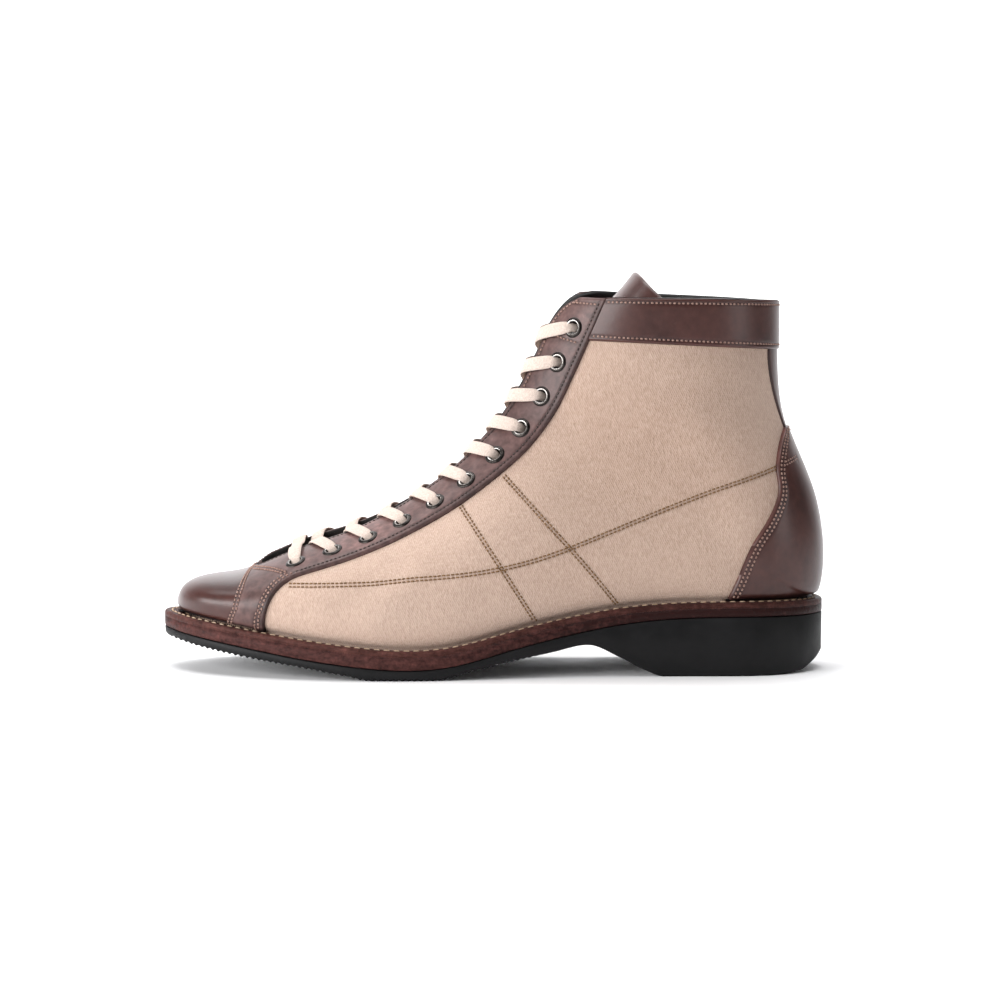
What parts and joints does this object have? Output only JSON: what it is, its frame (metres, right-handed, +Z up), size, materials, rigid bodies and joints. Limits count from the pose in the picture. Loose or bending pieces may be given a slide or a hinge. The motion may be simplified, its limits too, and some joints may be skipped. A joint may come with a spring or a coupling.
{
  "type": "canvas boot",
  "caption": "Canvas ankle boot for the left foot, laced to the toe, with leather overlays, a welted leather midsole and a black rubber sole with a heel.",
  "frame": {"origin": "on the floor below the middle of the sole's outline", "axes": "+X from the toe to the heel, +Y from the outer side of the foot to the inner side, +Z up from the floor"},
  "size_m": [0.3051, 0.1042, 0.1819],
  "materials": {
    "black_rubber": "satin black, moulded",
    "sole_leather": "red-brown, satin",
    "insole_leather": "plain tan, matt",
    "canvas": "beige woven canvas, matt",
    "brown_leather": "dark brown, polished",
    "gunmetal": "dark, bright rim",
    "cotton_lace": "cream flat weave"
  },
  "bodies": {
    "root": {"collar_band": "brown_leather", "eyelet_inner_01": "gunmetal", "eyelet_inner_02": "gunmetal", "eyelet_inner_03": "gunmetal", "eyelet_inner_04": "gunmetal", "eyelet_inner_05": "gunmetal", "eyelet_inner_06": "gunmetal", "eyelet_inner_07": "gunmetal", "eyelet_inner_08": "gunmetal", "eyelet_inner_09": "gunmetal", "eyelet_inner_10": "gunmetal", "eyelet_inner_11": "gunmetal", "eyelet_outer_01": "gunmetal", "eyelet_outer_02": "gunmetal", "eyelet_outer_03": "gunmetal", "eyelet_outer_04": "gunmetal", "eyelet_outer_05": "gunmetal", "eyelet_outer_06": "gunmetal", "eyelet_outer_07": "gunmetal", "eyelet_outer_08": "gunmetal", "eyelet_outer_09": "gunmetal", "eyelet_outer_10": "gunmetal", "eyelet_outer_11": "gunmetal", "eyelet_stay_inner": "brown_leather", "eyelet_stay_outer": "brown_leather", "heel_counter": "brown_leather", "insole": "insole_leather", "lace_bar": "cotton_lace", "lace_crossing_01": "cotton_lace", "lace_crossing_02": "cotton_lace", "lace_crossing_03": "cotton_lace", "lace_crossing_04": "cotton_lace", "lace_crossing_05": "cotton_lace", "lace_crossing_06": "cotton_lace", "lace_crossing_07": "cotton_lace", "lace_crossing_08": "cotton_lace", "lace_crossing_09": "cotton_lace", "lace_crossing_10": "cotton_lace", "midsole": "sole_leather", "outsole": "black_rubber", "toe_cap": "brown_leather", "tongue": "brown_leather", "upper": "canvas", "welt": "sole_leather"}
  },
  "joints": []
}
